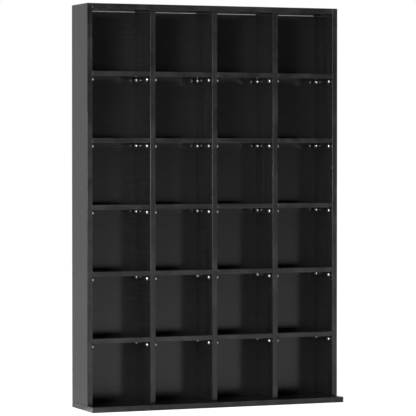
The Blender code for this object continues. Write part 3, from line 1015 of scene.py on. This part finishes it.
def dress_cams(materials):
    """Cam locks: a chamfered disc with the channel for the bolt's head and a cross for the driver."""
    rim = CAM_RADIUS - CAM_CHAMFER
    body = turned_shape([
        (rim, 0.0), (CAM_RADIUS, CAM_CHAMFER), (CAM_RADIUS, CAM_HEIGHT - CAM_CHAMFER), (rim, CAM_HEIGHT),
    ], FASTENER_SIDES)
    half = CAM_CHANNEL / 2
    for label in ("left", "right"):
        for row in FASTENER_ROWS:
            name = f"cam_{label}_{row}"
            low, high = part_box(name)
            side, centre, depth, height = cam_place(label, row)
            cam = piece(f"{name}_lock", moved(body, (centre, depth, low.z)), materials["zinc"])
            mouth = centre + side * (CAM_RADIUS + OVERRUN)
            stop = centre - side * half
            channel = board_shape(
                (min(mouth, stop), depth - half, height - half),
                (max(mouth, stop), depth + half, high.z + OVERRUN), "z", CAM_CHAMFER, CAM_CHANNEL_STEPS)
            for along, across in ((SLOT_LENGTH, SLOT_WIDTH), (SLOT_WIDTH, SLOT_LENGTH)):
                slot_low = (centre - along / 2, depth - across / 2, low.z - OVERRUN)
                slot_high = (centre + along / 2, depth + across / 2, low.z + SLOT_DEPTH)
                cut(cam, board_shape(slot_low, slot_high, "z", SLOT_ARRIS, 1))
            fit(cut(cam, channel), BODY, "plated_steel", name)


def dress_bolts(materials):
    """Cam bolts: thread in the side panel, collar, shaft, and the round head that the cam grips."""
    tip = CAM_DISTANCE - FIT_GAP
    middle = BOLT_THREAD_RADIUS - BOLT_THREAD_SINK
    heights = thread_heights(-BOLT_THREAD_LENGTH, 0.0, BOLT_PITCH).tolist()
    shaft = BOLT_SHAFT_RADIUS - BOLT_SHAFT_SINK
    shaft_end = tip - BOLT_HEAD_LENGTH - BOLT_HEAD_GAP
    profile = [(middle, height) for height in heights]
    profile += [
        (BOLT_SHAFT_RADIUS, FIT_GAP), (BOLT_HEAD_RADIUS, FIT_GAP + BOLT_COLLAR_RISE),
        (BOLT_HEAD_RADIUS, BOLT_COLLAR_TOP), (shaft, BOLT_SHAFT_START),
        (shaft, shaft_end), (BOLT_HEAD_RADIUS - BOLT_HEAD_SINK, shaft_end + BOLT_HEAD_RISE),
    ]
    profile += quarter_round(profile[-1], (BOLT_HEAD_RADIUS, tip - BOLT_HEAD_LENGTH / 2), 3, True)
    profile += quarter_round(profile[-1], (BOLT_HEAD_RADIUS * BOLT_END_SHARE, tip), 6, False)
    wave = thread_wave(-BOLT_THREAD_LENGTH, 0.0, BOLT_PITCH, BOLT_PITCH, BOLT_THREAD_DEPTH)
    shape = turned_shape(profile, FASTENER_SIDES, wave)
    for label in ("left", "right"):
        for row in FASTENER_ROWS:
            side, _, depth, height = cam_place(label, row)
            direction = "right" if side < 0 else "left"
            placed = moved(shape, (side * INNER_SIDE, depth, height), direction)
            name = f"cam_bolt_{label}_{row}"
            fit(piece(f"{name}_turned", placed, materials["zinc"]), BODY, "plated_steel", name)


def dress_dowels(materials):
    """Fluted dowels: the radius dips by the flute's depth * cos(flutes * angle)^2, where that is up."""

    def flutes(angle, height, radius):
        dip = np.clip(np.cos(DOWEL_FLUTES * angle), 0.0, 1.0) ** 2
        return radius - FLUTE_DEPTH * dip

    for index in range(1, COLUMNS):
        for row in FASTENER_ROWS:
            name = f"dowel_{index}_{row}"
            low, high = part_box(name)
            length = high.z - low.z
            shape = turned_shape([
                (DOWEL_RADIUS - DOWEL_CHAMFER, 0.0), (DOWEL_RADIUS, DOWEL_CHAMFER),
                (DOWEL_RADIUS, length - DOWEL_CHAMFER), (DOWEL_RADIUS - DOWEL_CHAMFER, length),
            ], DOWEL_FLUTES * SIDES_PER_FLUTE, flutes)
            place = ((low.x + high.x) / 2, (low.y + high.y) / 2, low.z)
            fit(piece(f"{name}_fluted", moved(shape, place), materials["dowel"]), BODY, "dowel_wood", name)


# Studio


def make_floor():
    """A white floor that keeps the object's shadow; camera and mirror rays see it topped up.

    A dark cloth in front on the left keeps the floor out of the studs, and camera rays see it as white
    too. The mirrored top-up is full in front on the right, slight beside the object, and rises again
    far behind. A small, bright patch by the left front corner, which only mirror rays see, is a painted
    reflection on the end of the base's overhang; it lights nothing.
    """
    material, tree, shader, place = new_material("pale_floor")
    axes = node(tree, "ShaderNodeSeparateXYZ")
    feed(tree, axes.inputs[0], place)
    x, y = axes.outputs["X"], axes.outputs["Y"]
    turn = math.radians(CLOTH_BEARING)
    leftward = node(tree, "ShaderNodeVectorMath", operation="DOT_PRODUCT")
    feed(tree, leftward.inputs[0], place)
    feed(tree, leftward.inputs[1], (-math.cos(turn), math.sin(turn), 0.0))
    apart = node(tree, "ShaderNodeVectorMath", operation="LENGTH")
    feed(tree, apart.inputs[0], place)
    cloth = spread(tree, leftward.outputs["Value"], *CLOTH_LEFT)
    cloth = calculate(tree, "MULTIPLY", cloth, spread(tree, y, *CLOTH_FRONT))
    cloth = calculate(tree, "MULTIPLY", cloth, spread(tree, apart.outputs["Value"], *CLOTH_END))
    colour = calculate(tree, "MULTIPLY_ADD", cloth, FLOOR_CLOTH - FLOOR_COLOUR, FLOOR_COLOUR)
    feed(tree, shader.inputs["Base Color"], colour)
    shader.inputs["Roughness"].default_value = FLOOR_ROUGH
    shader.inputs["Specular IOR Level"].default_value = 0.0
    path = node(tree, "ShaderNodeLightPath").outputs
    mirrored = calculate(tree, "ADD", path["Is Glossy Ray"], path["Is Transmission Ray"], clamp=True)
    front = spread(tree, y, *MIRROR_FRONT_Y, MIRROR_FRONT, 0.0)
    front = calculate(tree, "MULTIPLY", front, spread(tree, x, *MIRROR_FRONT_X))
    rear = spread(tree, y, *MIRROR_REAR_Y, MIRROR_BESIDE, MIRROR_REAR)
    rear = calculate(tree, "MULTIPLY", rear, spread(tree, y, *MIRROR_REAR_START))
    # Painted reflection: a bright patch by the left front corner, seen only by mirror rays, brightens the end
    # of the base's overhang
    corner = PAINTED_REFLECTION_PATCH
    for place_along, edges in ((x, PAINTED_REFLECTION_PATCH_X), (y, PAINTED_REFLECTION_PATCH_Y)):
        for edge in edges:
            corner = calculate(tree, "MULTIPLY", spread(tree, place_along, *edge), corner)
    near = calculate(tree, "ADD", front, corner)
    mirrored = calculate(tree, "MULTIPLY", mirrored, calculate(tree, "ADD", near, rear))
    seen = calculate(tree, "MULTIPLY_ADD", cloth, CLOTH_TOP_UP, FLOOR_TOP_UP)
    seen = calculate(tree, "MULTIPLY_ADD", path["Is Camera Ray"], seen, mirrored)
    shader.inputs["Emission Color"].default_value = WHITE
    feed(tree, shader.inputs["Emission Strength"], seen)
    half = FLOOR_HALF
    mesh = bpy.data.meshes.new("floor")
    corners = [(-half, -half, 0.0), (half, -half, 0.0), (half, half, 0.0), (-half, half, 0.0)]
    mesh.from_pydata(corners, [], [(0, 1, 2, 3)])
    mesh.materials.append(material)
    floor = bpy.data.objects.new("floor", mesh)
    bpy.context.scene.collection.objects.link(floor)


def make_room():
    """The studio around the object, by direction: pale behind it and dark in front; camera rays see white."""
    world = bpy.data.worlds.new("studio")
    bpy.context.scene.world = world
    world.use_nodes = True
    tree = world.node_tree
    tree.nodes.clear()
    direction = node(tree, "ShaderNodeSeparateXYZ")
    feed(tree, direction.inputs[0], node(tree, "ShaderNodeTexCoord").outputs["Generated"])
    level = spread(tree, direction.outputs["Y"], *ROOM_EDGE, 0.0, ROOM_BRIGHT)
    camera_ray = node(tree, "ShaderNodeLightPath").outputs["Is Camera Ray"]
    strength = node(tree, "ShaderNodeMix", data_type="FLOAT")
    feed(tree, strength.inputs[0], camera_ray)
    feed(tree, strength.inputs[2], level)
    feed(tree, strength.inputs[3], 1.0)
    background = node(tree, "ShaderNodeBackground")
    feed(tree, background.inputs["Strength"], strength.outputs[0])
    background.inputs["Color"].default_value = WHITE
    output = node(tree, "ShaderNodeOutputWorld")
    tree.links.new(background.outputs[0], output.inputs["Surface"])


def make_softbox(name, bearing, elevation, distance, width, height, radiance):
    """A flat soft lamp, aimed at the object's middle; its power is radiance * pi * area.

    The bearing is counted in degrees from straight ahead to the viewer's left.
    """
    turn = math.radians(bearing)
    rise = math.radians(elevation)
    way = Vector((-math.sin(turn) * math.cos(rise), -math.cos(turn) * math.cos(rise), math.sin(rise)))
    light = bpy.data.lights.new(name, "AREA")
    light.shape = "RECTANGLE"
    light.size = width
    light.size_y = height
    light.energy = radiance * math.pi * width * height
    lamp = bpy.data.objects.new(name, light)
    bpy.context.scene.collection.objects.link(lamp)
    lamp.location = Vector(MIDDLE) + distance * way
    lamp.rotation_euler = (-way).to_track_quat("-Z", "Y").to_euler()
    lamp.visible_camera = False


def make_lights():
    make_softbox("key_softbox_low", **KEY_LOW)
    make_softbox("key_softbox_high", **KEY_HIGH)
    make_softbox("fill_softbox", **FILL_BOX)


def make_camera():
    data = bpy.data.cameras.new("photograph_view")
    data.lens = CAMERA_LENS
    data.sensor_width = SENSOR_WIDTH
    data.shift_y = CAMERA_SHIFT
    data.clip_end = CAMERA_FAR
    camera = bpy.data.objects.new("photograph_view", data)
    bpy.context.scene.collection.objects.link(camera)
    camera.location = CAMERA_PLACE
    camera.rotation_euler = (math.radians(90.0 - CAMERA_DOWN), 0.0, math.radians(-CAMERA_HEADING))
    bpy.context.scene.camera = camera
    bpy.context.scene.view_settings.view_transform = "Standard"


def dress():
    materials = make_materials()
    dress_base(materials)
    dress_uprights(materials)
    dress_top(materials)
    dress_shelves(materials)
    dress_back_panels(materials)
    dress_studs(materials)
    dress_screws(materials)
    dress_cams(materials)
    dress_bolts(materials)
    dress_dowels(materials)


make_camera()
make_floor()
make_room()
make_lights()
dress()
